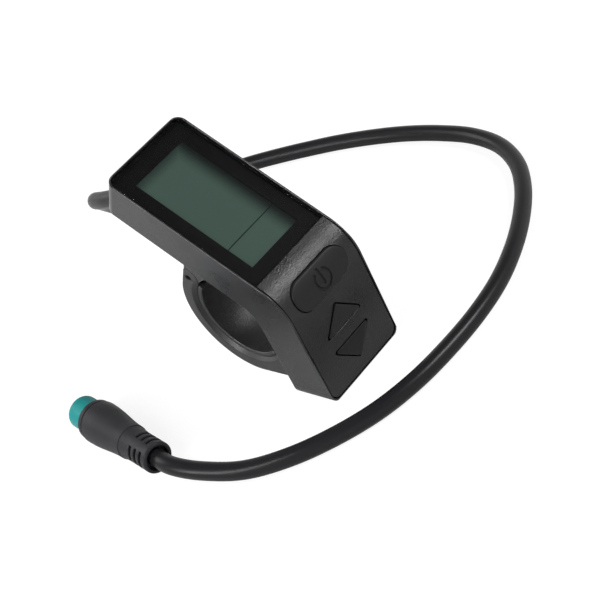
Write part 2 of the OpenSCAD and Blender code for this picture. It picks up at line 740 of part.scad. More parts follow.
function unit(v) = v / norm(v);
function heading(i) = let (n = len(cord_route) - 1)
    i == 0 ? [0, cos(outlet_drop), -sin(outlet_drop)]
    : i == n ? [sin(plug_heading) * cos(plug_pitch), cos(plug_heading) * cos(plug_pitch), sin(plug_pitch)]
    : unit(cord_route[i + 1] - cord_route[i - 1]);
function cord_ring(i) = let (t = heading(i), across = unit([t[1], -t[0], 0]), up = cross(across, t))
    [for (j = [0:cord_sides - 1]) let (a = 360 * j / cord_sides)
        cord_route[i] + cord_d / 2 * (cos(a) * across + sin(a) * up)];

module cord() color("#1d1d1f") skin([for (i = [len(cord_route) - 1:-1:0]) cord_ring(i)]);

module plug_frame() translate(plug_seat) rotate([0, 0, -plug_heading]) rotate([plug_pitch - 90, 0, 0])
    rotate([0, 0, plug_roll]) children();

module plug_body() color("#2e2e30") plug_frame() difference() {
    collar_r = plug_d / 2;
    step_r = tail_r + step_grow + step_h;
    rotate_extrude() polygon(concat(
        [[0, 0],
            [tail_r - cup_wall, 0],
            [tail_r - cup_wall, -cup_depth],
            [tail_r - tail_edge, -cup_depth],
            [tail_r, tail_edge - cup_depth],
            [tail_r, tail_l],
            [tail_r + step_grow, step_at]],
        [for (i = [0:taper_steps]) [
            step_r + (collar_r - step_r) * (1 - cos(180 * i / taper_steps)) / 2,
            step_at + sink + (collar_at - step_at - sink) * i / taper_steps]],
        [[collar_r, collar_front - ring_bevel],
            [collar_r - ring_bevel, collar_front],
            [collar_r - groove_deep, collar_front + tiny],
            [collar_r - groove_deep, collar_front + groove_w],
            [collar_r - ring_bevel, collar_front + groove_w + tiny],
            [collar_r - ring_bevel, body_front - 2 * ring_bevel],
            [nose_d / 2 + front_rim, body_front],
            [0, body_front]]));
    for (i = [0:slots - 1]) translate([0, 0, slot_first + slot_step * i - slot_w / 2]) difference() {
        cylinder(r = plug_d, h = slot_w);
        translate([0, 0, -over]) cylinder(r = tail_r - slot_depth, h = slot_w + 2 * over);
        translate([-spine_w / 2, -plug_d, -over]) cube([spine_w, 2 * plug_d, slot_w + 2 * over]);
    }
}

module plug_seal() color("#141416") plug_frame() translate([0, 0, body_front + tiny]) difference() {
    cylinder(r = nose_d / 2 - seal_inset, h = seal_t);
    translate([0, 0, -over]) cylinder(r = nose_d / 2 - nose_wall, h = seal_t + 2 * over);
}

module plug_nose() color("#2fa79b") plug_frame()
    translate([0, 0, body_front + seal_t + 2 * tiny]) difference() {
    inner_r = nose_d / 2 - nose_wall;
    union() {
        rotate_extrude() polygon(concat(
            [[0, 0], [nose_d / 2, 0], [nose_d / 2, nose_l - nose_round]],
            arc([nose_d / 2 - nose_round, nose_l - nose_round], nose_round, 0, 90, 8),
            [[0, nose_l]]));
        translate([0, 0, -seal_t]) cylinder(r = inner_r - fit_gap, h = seal_t + over);
    }
    translate([0, 0, nose_floor]) difference() {
        cylinder(r = inner_r, h = nose_l);
        translate([-nose_key_w / 2, inner_r - nose_key_in, -over])
            cube([nose_key_w, nose_wall, nose_l + 2 * over]);
    }
    for (i = [1:contacts]) rotate([0, 0, 360 / contacts * i]) translate([0, -contact_ring, -over])
        cylinder(r = contact_d / 2, h = nose_l, $fn = few);
}

module plug_contacts() color("#c9a24a") plug_frame() for (i = [1:contacts])
    rotate([0, 0, 360 / contacts * i]) translate([0, -contact_ring, body_front + 4 * tiny])
    cylinder(r = contact_d / 2, h = contact_l, $fn = few);

// Clamp

module strap() color("#2f2f31") difference() {
    union() {
        difference() {
            union() {
                on_clamp() along_x(ring_r, clamp_w);
                translate([-lug_w / 2, back_y + soft_gap, floor_z + strap_lift])
                    cube([lug_w, -over - back_y - soft_gap, ring_r]);
            }
            on_clamp() translate([-clamp_w, -4 * ring_r, split_z - part_gap])
                cube([2 * clamp_w, 4 * ring_r, 4 * ring_r]);
            on_clamp() translate([-clamp_w, -over, pin_z]) cube([2 * clamp_w, 4 * ring_r, 4 * ring_r]);
        }
        on_clamp() difference() {
            translate([0, pin_y, pin_z]) along_x(knuckle_r, clamp_w - 2 * fit_gap);
            translate([-clamp_w, ring_r, pin_z - knuckle_r]) cube([2 * clamp_w, ring_r, 2 * ring_r]);
        }
    }
    on_clamp() along_x(seat_r, clamp_w + over);
    for (s = [-1, 1]) on_clamp() translate([s * clamp_w / 2, 0, 0]) rotate([0, s * 90, 0])
        translate([0, 0, -2 * bore_bevel])
            cylinder(r1 = seat_r - bore_bevel, r2 = seat_r + 2 * bore_bevel, h = 3 * bore_bevel);
    on_clamp() translate([0, pin_y, pin_z]) along_x(ear_r + soft_gap, ear_w + 2 * knuckle_gap);
    on_clamp() translate([-ear_w / 2 - knuckle_gap, pin_y - 2 * ear_r, pin_z - ear_share * ear_r])
        cube([ear_w + 2 * knuckle_gap, ring_r, ring_r]);
    on_clamp() translate([0, pin_y, pin_z]) along_x(pin_d / 2 + fit_gap, clamp_w + over);
    screw_axis() translate([0, 0, split_z - part_gap - lug_t - over])
        cylinder(r = screw_hole_r, h = lug_t + 2 * over);
    screw_axis() translate([0, 0, split_z - part_gap - lug_t - ring_r])
        cylinder(r = head_hole_r, h = ring_r);
}

module hinge_pin() color("#8a8a8c") on_clamp() translate([0, pin_y, pin_z])
    along_x(pin_d / 2, clamp_w - 2 * pin_recess);

module clamp_insert() color("#c2a14d") screw_axis() translate([0, 0, split_z]) difference() {
    cylinder(r = insert_d / 2, h = insert_l);
    translate([0, 0, -over]) cylinder(r = screw_d / 2, h = insert_l + 2 * over);
}

module clamp_screw() color("#3a3a3c") screw_axis() translate([0, 0, split_z - part_gap - lug_t])
    difference() {
    union() {
        translate([0, 0, -over])
            cylinder(r = screw_core_r, h = over + lug_t + part_gap + insert_l + screw_tip);
        translate([0, 0, -screw_head_h]) cylinder(r = screw_head_d / 2, h = screw_head_h - tiny);
    }
    translate([0, 0, -screw_head_h - over]) cylinder(r = hex_r, h = over + hex_deep, $fn = 6);
}

// A curved pad lining the bore between two angles
module pad(from, to) on_clamp() difference() {
    along_x(seat_r - fit_gap, pad_w);
    along_x(bar_r, pad_w + over);
    rotate([90, 0, 90]) translate([0, 0, -pad_w]) linear_extrude(2 * pad_w) polygon(concat(
        [[0, 0]], arc([0, 0], 2 * ring_r, to, from + 360, 16)));
}
module strap_pad() color("#1b1b1d") pad(200, 367);
module saddle_pad() color("#1b1b1d") pad(45, 166);

case_shell();
front_panel();
panel_seal();
lens();
lens_mask();
front_polariser();
lcd_cell();
back_polariser();
light_guide();
lcd_frame();
contact_strip();
main_board();
controller_chip();
board_parts();
board_screws();
board_jumper();
key_flex();
key_carrier();
key_switches();
power_key();
up_key();
down_key();
power_stem();
up_stem();
down_stem();
strain_relief();
core_wires();
cord();
plug_body();
plug_seal();
plug_nose();
plug_contacts();
strap();
strap_pad();
saddle_pad();
hinge_pin();
clamp_insert();
clamp_screw();
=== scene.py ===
import json
from math import cos, pi, radians, sin

import bmesh
import bpy
import numpy as np
from mathutils import Matrix

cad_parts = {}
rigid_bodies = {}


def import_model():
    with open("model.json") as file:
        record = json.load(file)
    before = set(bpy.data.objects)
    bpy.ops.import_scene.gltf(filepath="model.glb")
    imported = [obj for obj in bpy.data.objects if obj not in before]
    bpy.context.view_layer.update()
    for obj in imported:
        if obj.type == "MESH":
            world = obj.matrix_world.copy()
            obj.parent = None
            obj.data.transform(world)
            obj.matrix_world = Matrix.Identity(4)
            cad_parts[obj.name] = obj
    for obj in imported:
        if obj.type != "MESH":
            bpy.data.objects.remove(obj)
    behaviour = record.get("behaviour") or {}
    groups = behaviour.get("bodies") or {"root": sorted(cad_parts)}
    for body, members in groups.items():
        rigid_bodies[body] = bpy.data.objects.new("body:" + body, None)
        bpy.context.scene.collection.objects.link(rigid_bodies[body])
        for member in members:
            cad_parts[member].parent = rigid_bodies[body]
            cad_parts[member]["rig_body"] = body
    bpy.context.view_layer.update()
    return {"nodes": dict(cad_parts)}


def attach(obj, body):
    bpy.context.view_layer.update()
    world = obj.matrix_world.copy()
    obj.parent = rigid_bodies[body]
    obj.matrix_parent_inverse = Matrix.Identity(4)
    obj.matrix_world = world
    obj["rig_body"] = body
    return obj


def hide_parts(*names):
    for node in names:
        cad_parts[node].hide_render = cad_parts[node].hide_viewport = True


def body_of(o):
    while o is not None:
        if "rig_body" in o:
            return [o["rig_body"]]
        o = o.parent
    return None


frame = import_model()

MM = 0.001

# Camera: the photograph's viewing angle, with its roll
CAMERA_AT = (-0.15858, -0.260879, 0.196641)
CAMERA_RIGHT = (0.59955, -0.69793, -0.39171)
CAMERA_UP = (0.66049, 0.15507, 0.73465)
CAMERA_BACK = (-0.45199, -0.69918, 0.55394)
LENS_MM = 91.841
SENSOR_MM = 36.0
CLIP_START = 0.01

# Sizes of the display, repeated from the part's source, in millimetres. Lengths along the head start at its
# corner, where the planes of head and slope meet.
HEAD_TILT = radians(36)
UP_HEAD = np.array([0, cos(HEAD_TILT), sin(HEAD_TILT)])
CORNER_YZ = np.array([-27.55, 14.1])
CASE_W = 25.6
FACET_W = 1.4
BEND_R = 11.5
BEND_RUN = BEND_R * np.tan((pi / 2 - HEAD_TILT) / 2)
SCREEN_UP = 11.5
WINDOW_W = 16.4
SOLID_WINDOW_L = 32.2
NOSE_L, NOSE_FLOOR, NOSE_ROUND = 4.7, 1.6, 1.0
CORD_D = 4.4
OUTLET_DROP = radians(15)
OUT_OF_CASE = np.array([0, cos(OUTLET_DROP), -sin(OUTLET_DROP)])
PLUG_HEADING = radians(8)
PLUG_PITCH = radians(1.6)
INTO_PLUG = np.array([sin(PLUG_HEADING) * cos(PLUG_PITCH), cos(PLUG_HEADING) * cos(PLUG_PITCH),
                      sin(PLUG_PITCH)])
FLOOR_Z = -16.3

# What the photograph shows and the source lacks: the window's full length, and this much more of the nose
WINDOW_L = 33.3
NOSE_STRETCH = 0.9

# Points closer than this, in millimetres, are one: in a new surface, and in a copy of a CAD node
SEAM = 0.004
WELD = 0.002

# The lead's middle line: out of the gland, down behind the head, round over the floor, into the plug
CORD_ROUTE = np.array([
    [0, 25, 28.3], [0, 30, 27], [0, 36, 25.4], [0.2, 42, 23.7], [1.4, 48, 21.6], [4, 53.2, 18.7],
    [8, 60, 14.4], [12, 66.4, 9.8], [17, 71.6, 3.8], [22.6, 75.8, -3], [29.4, 79, -9.2], [37, 80.4, -13],
    [45, 78.6, -14.1], [52.6, 73, -14.1], [58.4, 66, -14.1], [63.6, 57.6, -14.1], [68.4, 48.6, -14.1],
    [72.6, 39.8, -14.1], [76.4, 29.6, -14.1], [79.2, 19.4, -14.1], [80.8, 8.6, -14.1], [81, -2.4, -14.1],
    [78.4, -13.2, -14.1], [72.4, -22.8, -14.1], [64, -30.4, -14.1], [54, -36.6, -14.1], [43.4, -41.4, -14.1],
    [32, -44.8, -14.1], [20.4, -46.2, -14.1], [8.8, -46, -14.1], [-2.2, -44.6, -14.1], [-12.8, -41.4, -14.1],
    [-22.6, -36, -14.1], [-31, -29.2, -14.1], [-37.6, -20.8, -14.1], [-41.8, -11.4, -13.2],
    [-43.8, -3.4, -12.1], [-43.2, 3, -11.6]])


def linked(name, data):
    """A new object with its data, in the scene."""
    item = bpy.data.objects.new(name, data)
    bpy.context.scene.collection.objects.link(item)
    return item


def standing(name, data, right, up, back, place):
    """An object of the studio at a place, with its own X, Y and Z along right, up and back."""
    item = linked(name, data)
    item.matrix_world = Matrix([[*row, at] for row, at in zip(zip(right, up, back), place)]
                               + [[0, 0, 0, 1]])
    return item


# Colours and nodes

def srgb(code):
    """An sRGB hex colour as linear red, green, blue and alpha."""
    part = np.array([int(code[i:i + 2], 16) for i in (0, 2, 4)]) / 255
    linear = np.where(part <= 0.04045, part / 12.92, ((part + 0.055) / 1.055) ** 2.4)
    return (*linear.tolist(), 1.0)


def add(tree, kind, values=None, links=None):
    """Adds a node, gives it its settings and socket values, and links its inputs."""
    node = tree.nodes.new(kind)
    for key, value in (values or {}).items():
        if isinstance(key, str) and hasattr(node, key):
            setattr(node, key, value)
        else:
            node.inputs[key].default_value = value
    for key, source in (links or {}).items():
        tree.links.new(source, node.inputs[key])
    return node


def blank(name):
    """An empty material with its output node."""
    material = bpy.data.materials.new(name)
    material.use_nodes = True
    tree = material.node_tree
    tree.nodes.clear()
    return material, tree, add(tree, "ShaderNodeOutputMaterial")


# Noise stays mostly within this range, over which tones and polish go from one end to the other
NOISE_LOW, NOISE_HIGH = 0.3, 0.7
CLOUD_DETAIL = 4.0
GRAIN_DETAIL, GRAIN_ROUGHNESS = 2.0, 0.6
# How deep light scatters in the green nylon
SCATTER_MM = 0.8


def moulded(name, dark, light, roughness, grain_mm, relief_mm, specular=0.3, metallic=0.0, cloud_mm=9.0,
            roughness_spread=0.08, subsurface=0.0):
    """A solid material with a cloudy colour between two tones, a roughness that varies with it, and a fine
    grain that stands relief_mm proud."""
    material, tree, output = blank(name)
    place = add(tree, "ShaderNodeTexCoord").outputs["Object"]
    cloud = add(tree, "ShaderNodeTexNoise", {"Scale": 1 / (cloud_mm * MM), "Detail": CLOUD_DETAIL},
                {"Vector": place})
    tone = add(tree, "ShaderNodeValToRGB", links={"Fac": cloud.outputs["Fac"]})
    for element, position, code in zip(tone.color_ramp.elements, (NOISE_LOW, NOISE_HIGH), (dark, light)):
        element.position = position
        element.color = srgb(code)
    polish = add(tree, "ShaderNodeMapRange",
                 {"From Min": NOISE_LOW, "From Max": NOISE_HIGH, "To Min": roughness - roughness_spread,
                  "To Max": roughness + roughness_spread}, {"Value": cloud.outputs["Fac"]})
    grain = add(tree, "ShaderNodeTexNoise",
                {"Scale": 1 / (grain_mm * MM), "Detail": GRAIN_DETAIL, "Roughness": GRAIN_ROUGHNESS},
                {"Vector": place})
    bump = add(tree, "ShaderNodeBump", {"Strength": 1.0, "Distance": relief_mm * MM},
               {"Height": grain.outputs["Fac"]})
    shader = add(tree, "ShaderNodeBsdfPrincipled",
                 {"Metallic": metallic, "Specular IOR Level": specular, "Subsurface Weight": subsurface,
                  "Subsurface Scale": SCATTER_MM * MM},
                 {"Base Color": tone.outputs["Color"], "Roughness": polish.outputs["Result"],
                  "Normal": bump.outputs["Normal"]})
    tree.links.new(shader.outputs["BSDF"], output.inputs["Surface"])
    return material


# Window: how much of the tint shows, and the polish where it is clean and where it is smeared
GLASS_TINT, GLASS_OPACITY, GLASS_SPECULAR = "060607", 0.14, 0.2
SMEAR_MM, SMEAR_DETAIL = 7, 3.0
CLEAN_POLISH, SMEARED_POLISH = 0.06, 0.12


def window_glass(name):
    """Tinted acrylic: mostly clear over the window, with a faint smear that changes its gloss."""
    material, tree, output = blank(name)
    place = add(tree, "ShaderNodeTexCoord").outputs["Object"]
    smear = add(tree, "ShaderNodeTexNoise", {"Scale": 1 / (SMEAR_MM * MM), "Detail": SMEAR_DETAIL},
                {"Vector": place})
    polish = add(tree, "ShaderNodeMapRange", {"To Min": CLEAN_POLISH, "To Max": SMEARED_POLISH},
                 {"Value": smear.outputs["Fac"]})
    shader = add(tree, "ShaderNodeBsdfPrincipled",
                 {"Base Color": srgb(GLASS_TINT), "Alpha": GLASS_OPACITY,
                  "Specular IOR Level": GLASS_SPECULAR},
                 {"Roughness": polish.outputs["Result"]})
    tree.links.new(shader.outputs["BSDF"], output.inputs["Surface"])
    return material


# Screen: its two tones and the size of the clouds between them, the thin line across it, and the painted
# shade that stands in for the shadow the mask's edge throws on it, as its tone, its reach in millimetres and
# its strength
SCREEN_TONES = ("4C6259", "566D63")
SCREEN_CLOUD_MM, SCREEN_CLOUD_DETAIL = 22, 2.0
SCREEN_ROUGHNESS, SCREEN_SPECULAR = 0.5, 0.1
DIVIDER_AT, DIVIDER_W, DIVIDER_TONE = 18.4, 0.26, "141A18"
PAINTED_SHADE_TONE = "101413"
SIDE_SHADE_MM, SIDE_SHADE = 5.2, 0.96
FAR_SHADE_MM, FAR_SHADE = 3.4, 0.6


def screen(name):
    """The reflective liquid crystal seen through its front film: grey green, with painted shade towards the
    far end and the +X side, where the edge of the mask stands over it, and one thin dividing line across."""
    material, tree, output = blank(name)
    place = add(tree, "ShaderNodeTexCoord").outputs["Object"]
    # Turned so that Y runs along the head from its corner, and Z is square to the lens
    level = add(tree, "ShaderNodeMapping",
                {"vector_type": "TEXTURE", "Location": (0, CORNER_YZ[0] * MM, CORNER_YZ[1] * MM),
                 "Rotation": (HEAD_TILT, 0, 0)}, {"Vector": place})
    along = add(tree, "ShaderNodeSeparateXYZ", links={"Vector": level.outputs["Vector"]})
    side_edge, far_edge = WINDOW_W / 2, SCREEN_UP + WINDOW_L
    # Painted shade: the colour darkens towards the +X side and the far edge of the window, in place of the
    # mask's shadow
    side_shade, far_shade = (
        add(tree, "ShaderNodeMapRange",
            {"interpolation_type": "SMOOTHSTEP", "From Min": (edge - reach) * MM, "From Max": edge * MM,
             "To Min": 0.0, "To Max": strength}, {"Value": along.outputs[way]})
        for way, edge, reach, strength in (("X", side_edge, SIDE_SHADE_MM, SIDE_SHADE),
                                           ("Y", far_edge, FAR_SHADE_MM, FAR_SHADE)))
    shade = add(tree, "ShaderNodeMath", {"operation": "MAXIMUM"},
                {0: side_shade.outputs["Result"], 1: far_shade.outputs["Result"]})
    cloud = add(tree, "ShaderNodeTexNoise",
                {"Scale": 1 / (SCREEN_CLOUD_MM * MM), "Detail": SCREEN_CLOUD_DETAIL}, {"Vector": place})
    tone = add(tree, "ShaderNodeValToRGB", links={"Fac": cloud.outputs["Fac"]})
    for element, code in zip(tone.color_ramp.elements, SCREEN_TONES):
        element.color = srgb(code)
    # The painted shade is mixed over the screen's own tone
    shaded = add(tree, "ShaderNodeMix", {"data_type": "RGBA", 7: srgb(PAINTED_SHADE_TONE)},
                 {0: shade.outputs["Value"], 6: tone.outputs["Color"]})
    offset = add(tree, "ShaderNodeMath", {"operation": "SUBTRACT", 1: DIVIDER_AT * MM},
                 {0: along.outputs["Y"]})
    away = add(tree, "ShaderNodeMath", {"operation": "ABSOLUTE"}, {0: offset.outputs["Value"]})
    line = add(tree, "ShaderNodeMath", {"operation": "LESS_THAN", 1: DIVIDER_W / 2 * MM},
               {0: away.outputs["Value"]})
    lined = add(tree, "ShaderNodeMix", {"data_type": "RGBA", 7: srgb(DIVIDER_TONE)},
                {0: line.outputs["Value"], 6: shaded.outputs[2]})
    shader = add(tree, "ShaderNodeBsdfPrincipled",
                 {"Roughness": SCREEN_ROUGHNESS, "Specular IOR Level": SCREEN_SPECULAR},
                 {"Base Color": lined.outputs[2]})
    tree.links.new(shader.outputs["BSDF"], output.inputs["Surface"])
    return material


# Surfaces

def closed_surface(name, grid):
    """A mesh from a grid of points: rows along the first axis, closed round the second, joined in quads. The
    first and last rows fall together to a line or a point, so merging them closes the ends."""
    rows, cols = grid.shape[:2]
    index = np.arange(rows * cols).reshape(rows, cols)
    turned = np.roll(index, -1, axis=1)
    faces = np.stack([index[:-1], turned[:-1], turned[1:], index[1:]], axis=-1).reshape(-1, 4)
    mesh = bpy.data.meshes.new(name)
    mesh.from_pydata(grid.reshape(-1, 3).tolist(), [], faces.tolist())
    form = bmesh.new()
    form.from_mesh(mesh)
    bmesh.ops.remove_doubles(form, verts=form.verts, dist=SEAM * MM)
    bmesh.ops.recalc_face_normals(form, faces=form.faces)
    for face in form.faces:
        face.smooth = True
    form.to_mesh(mesh)
    form.free()
    return linked(name, mesh)


def settle(piece, body, slot, material, *nodes):
    """A finished piece gets its material, rides on its body and stands for its CAD nodes."""
    piece.data.materials.clear()
    piece.data.materials.append(material)
    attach(piece, body)
    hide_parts(*nodes)
    return piece


def unit(vectors):
    """Vectors scaled to length one, along the last axis."""
    return vectors / np.linalg.norm(vectors, axis=-1, keepdims=True)


def smooth_path(points, steps):
    """A smooth curve through the points: each stretch between two of them is the cubic that passes a point in
    the direction from the one before it to the one after it."""
    first = 2 * points[0] - points[1]
    last = 2 * points[-1] - points[-2]
    p = np.vstack([first, points, last])
    t = np.linspace(0, 1, steps, endpoint=False)[None, :, None]
    a, b, c, d = (p[i:len(p) - 3 + i, None, :] for i in range(4))
    path = 0.5 * (2 * b + (c - a) * t + (2 * a - 5 * b + 4 * c - d) * t ** 2
                  + (3 * b - a - 3 * c + d) * t ** 3)
    return np.vstack([path.reshape(-1, 3), points[-1:]])


def tube(path, radius, sides):
    """A round tube: at each point of the path a circle in the plane of the level vector across the path and
    the vector square to both, with a point at each end to close it. It leaves the case and enters the plug
    along their axes."""
    ahead = np.gradient(path, axis=0)
    ahead[0] = OUT_OF_CASE
    ahead[-1] = INTO_PLUG
    ahead = unit(ahead)
    across = unit(np.stack([ahead[:, 1], -ahead[:, 0], np.zeros(len(ahead))], axis=-1))
    upward = np.cross(across, ahead)
    angle = np.linspace(0, 2 * pi, sides, endpoint=False)[None, :, None]
    round_it = np.cos(angle) * across[:, None, :] + np.sin(angle) * upward[:, None, :]
    rings = path[:, None, :] + radius * round_it
    ends = [np.repeat(path[i][None, None, :], sides, axis=1) for i in (0, -1)]
    return np.concatenate([ends[0], rings, ends[1]])


view = standing("camera", bpy.data.cameras.new("camera"), CAMERA_RIGHT, CAMERA_UP, CAMERA_BACK, CAMERA_AT)
view.data.lens = LENS_MM
view.data.sensor_width = SENSOR_MM
view.data.clip_start = CLIP_START
bpy.context.scene.camera = view

CORD_STEPS, CORD_SIDES = 10, 28
cord_path = smooth_path(CORD_ROUTE, CORD_STEPS)
# Extruded polyurethane jacket: black, with a soft sheen and a barely wavy surface
jacket = moulded("polyurethane_jacket_extruded", "18181A", "1D1D1F", 0.32, 2.2, 0.02, specular=0.16,
                 cloud_mm=30, roughness_spread=0.04)
lead = settle(closed_surface("lead", tube(cord_path, CORD_D / 2, CORD_SIDES) * MM), "display_case",
              "cord_jacket", jacket, "cord")


# Keys

# The power key: a pill of this length and height, whose middle lies this far down the bend from its top. Its
# face stands out by KEY_RAISE, and its flange lies under the panel.
POWER_L = 18.4
POWER_H = 7.8
POWER_AT = 3.0
KEY_RAISE = 0.45
FLANGE_OUT = 0.7
FLANGE_DEPTH = 1.45
FLANGE_T = 0.6
# The skirt goes up to just under the surface, where the face's rounded edge begins with a small step
SKIRT_TOP = -0.1
EDGE_R = 0.42
EDGE_STEP = 0.2
# Rows on the underside, as how far they lie inside the outline, which keep it round on the bend
UNDERSIDE = [POWER_H / 2, 2.8, 1.7, 0.5, -FLANGE_OUT]
EDGE_ROWS, FACE_ROWS = 8, 65
RUN_POINTS, ARC_POINTS = 130, 44
# The engraved mark, and the bevel along its edge from inside to outside of its half width
SYMBOL_AT = (0.2, -0.3)
SYMBOL_R = 2.32
SYMBOL_W = 0.74
SYMBOL_DEPTH = 0.38
SYMBOL_GAP = radians(38)
BAR_FROM, BAR_TO = -0.9, 2.5
BEVEL_IN, BEVEL_OUT = 0.1, 0.06


def pill_rows(insets, straight, turn):
    """Pill outlines one inside the other: two half circles of radius half the height less the inset, joined
    by two straight runs, with points at equal steps on each run and each half circle."""
    flat = POWER_L / 2 - POWER_H / 2
    run = np.linspace(flat, -flat, straight, endpoint=False)
    arc = np.linspace(pi / 2, 3 * pi / 2, turn, endpoint=False)
    centre = np.concatenate([run, np.full(turn, -flat), -run, np.full(turn, flat)])
    across = np.concatenate([np.zeros(straight), np.cos(arc), np.zeros(straight), -np.cos(arc)])
    upward = np.concatenate([np.ones(straight), np.sin(arc), -np.ones(straight), -np.sin(arc)])
    radius = (POWER_H / 2 - np.asarray(insets))[:, None]
    return centre[None, :] + radius * across[None, :], radius * upward[None, :]


def smoothstep(value, low, high):
    """0 below low, 1 above high, and a smooth cubic between them."""
    t = np.clip((value - low) / (high - low), 0, 1)
    return t * t * (3 - 2 * t)


def power_mark(x, y):
    """How much of the engraved mark's depth a point has: 1 within half a line's width of a ring that is open
    at the top, or of the short bar that stands in the opening, and 0 outside, with a smooth bevel between."""
    x, y = x - SYMBOL_AT[0], y - SYMBOL_AT[1]
    away = np.abs(np.hypot(x, y) - SYMBOL_R)
    gap = np.abs(np.arctan2(x, y)) < SYMBOL_GAP
    end_x, end_y = SYMBOL_R * np.sin(SYMBOL_GAP), SYMBOL_R * np.cos(SYMBOL_GAP)
    ring = np.where(gap, np.hypot(np.abs(x) - end_x, y - end_y), away)
    bar = np.hypot(x, y - np.clip(y, BAR_FROM, BAR_TO))
    return 1 - smoothstep(np.minimum(ring, bar), SYMBOL_W / 2 - BEVEL_IN, SYMBOL_W / 2 + BEVEL_OUT)


def over_bend(x, y, height):
    """Points of the flat outline carried along the press axis onto the bend, or onto the flat slope below it,
    and out from there by their height."""
    press = POWER_AT / BEND_R
    centre = CORNER_YZ + [BEND_RUN * np.cos(HEAD_TILT) + BEND_R * np.sin(HEAD_TILT),
                          BEND_RUN * np.sin(HEAD_TILT) - BEND_R * np.cos(HEAD_TILT)]
    r = BEND_R + height
    on_arc = np.sqrt(np.maximum(r * r - y * y, 0))
    on_slope = (r + y * np.sin(press)) / np.cos(press)
    out = np.where(y > -r * np.sin(press), on_arc, on_slope)
    return np.stack([x, centre[0] - out * np.cos(press) + y * np.sin(press),
                     centre[1] + out * np.sin(press) + y * np.cos(press)], axis=-1)


def power_cap():
    """The power key: rows of pill outlines, from the middle of its underside out round the flange, up the
    skirt, over a rounded edge, and in to the middle of its face. The rounded edge is a quarter turn of an
    ellipse, and the face stands at the key's height, less the mark's depth."""
    turn = np.linspace(0, pi / 2, EDGE_ROWS)
    face_in = np.linspace(EDGE_R, POWER_H / 2, FACE_ROWS + 1)[1:]
    inset = np.concatenate([UNDERSIDE, [-FLANGE_OUT, 0, 0], EDGE_R * (1 - np.cos(turn)), face_in])
    rise = np.concatenate([[-FLANGE_DEPTH - FLANGE_T] * len(UNDERSIDE), [-FLANGE_DEPTH] * 2, [SKIRT_TOP],
                           KEY_RAISE * (EDGE_STEP + (1 - EDGE_STEP) * np.sin(turn)),
                           np.full(len(face_in), KEY_RAISE)])
    x, y = pill_rows(inset, RUN_POINTS, ARC_POINTS)
    on_face = np.arange(len(inset))[:, None] >= len(inset) - len(face_in)
    height = rise[:, None] - SYMBOL_DEPTH * power_mark(x, y) * on_face
    return over_bend(x, y, height)


# Moulded keys: satin ABS with a fainter grain than the panel's, so they look even and a shade darker
key_plastic = moulded("abs_keys_satin_moulded", "19191A", "1E1E1F", 0.42, 0.4, 0.03, specular=0.17)
settle(closed_surface("power_button_cap", power_cap() * MM), "power_button", "key_abs", key_plastic,
       "power_key")


# CAD nodes dressed with rounded edges

# Faces within FLAT_ANGLE of each other are one, an edge past SHARP_ANGLE is a corner and gets rounded, and on
# a creased place an edge past CREASE_ANGLE already shows as a line
FLAT_ANGLE = radians(0.7)
CREASE_ANGLE = radians(5)
SHARP_ANGLE = radians(32)
# An edge is rounded where the edges that meet it are at least this many bevels long. An edge goes on in line
# in another where the cosine between them is at least IN_LINE.
ROOM = 2.2
IN_LINE = 0.8
# Places this close to a line, in millimetres, lie on it
NEAR = 0.1


def has_room(edge, width):
    """Whether an edge can be rounded without its neighbours' roundings running into one another: every edge
    that meets it at an angle is longer than the width, and so is the edge itself, unless others carry it on
    in line at both ends."""
    run = (edge.verts[1].co - edge.verts[0].co).normalized()
    for vertex in edge.verts:
        others = [other for other in vertex.link_edges if other is not edge]
        in_line = [abs((other.other_vert(vertex).co - vertex.co).normalized().dot(run)) > IN_LINE
                   for other in others]
        if not any(in_line) and edge.calc_length() < width:
            return False
        if any(other.calc_length() < width for other, along in zip(others, in_line) if not along):
            return False
    return True


def nowhere(place):
    """No place at all."""
    return False


def dressed(node, slot, material, bevel_mm, segments=2, creased=nowhere, unrounded=nowhere):
    """A merged copy of a CAD node, smooth across its small angles, with its sharp edges rounded where they
    have room for it. Where creased says so of both ends of an edge, in millimetres, a small angle stays a
    crisp line too, and where unrounded says so of either end, the edge keeps its form."""
    source = frame["nodes"][node]
    mesh = source.data.copy()
    mesh.name = node + "_dressed"
    if "custom_normal" in mesh.attributes:
        mesh.attributes.remove(mesh.attributes["custom_normal"])
    form = bmesh.new()
    form.from_mesh(mesh)
    bmesh.ops.remove_doubles(form, verts=form.verts, dist=WELD * MM)
    bmesh.ops.dissolve_limit(form, angle_limit=FLAT_ANGLE, verts=form.verts, edges=form.edges)
    for face in form.faces:
        face.smooth = True
    rounded = form.edges.layers.float.new("bevel_weight_edge")
    for edge in form.edges:
        crisp = all(creased(vertex.co / MM) for vertex in edge.verts)
        plain = any(unrounded(vertex.co / MM) for vertex in edge.verts)
        angle = edge.calc_face_angle(pi)
        edge.smooth = angle < (CREASE_ANGLE if crisp else SHARP_ANGLE)
        edge[rounded] = float(angle > SHARP_ANGLE and not plain and has_room(edge, ROOM * bevel_mm * MM))
    form.to_mesh(mesh)
    form.free()
    piece = linked(node + "_dressed", mesh)
    if bevel_mm:
        rounding = piece.modifiers.new("rounded_edges", "BEVEL")
        rounding.width = bevel_mm * MM
        rounding.segments = segments
        rounding.limit_method = "WEIGHT"
        rounding.use_clamp_overlap = False
        rounding.miter_outer = "MITER_ARC"
    shading = piece.modifiers.new("even_shading", "WEIGHTED_NORMAL")
    shading.keep_sharp = True
    return settle(piece, body_of(source)[0], slot, material, node)


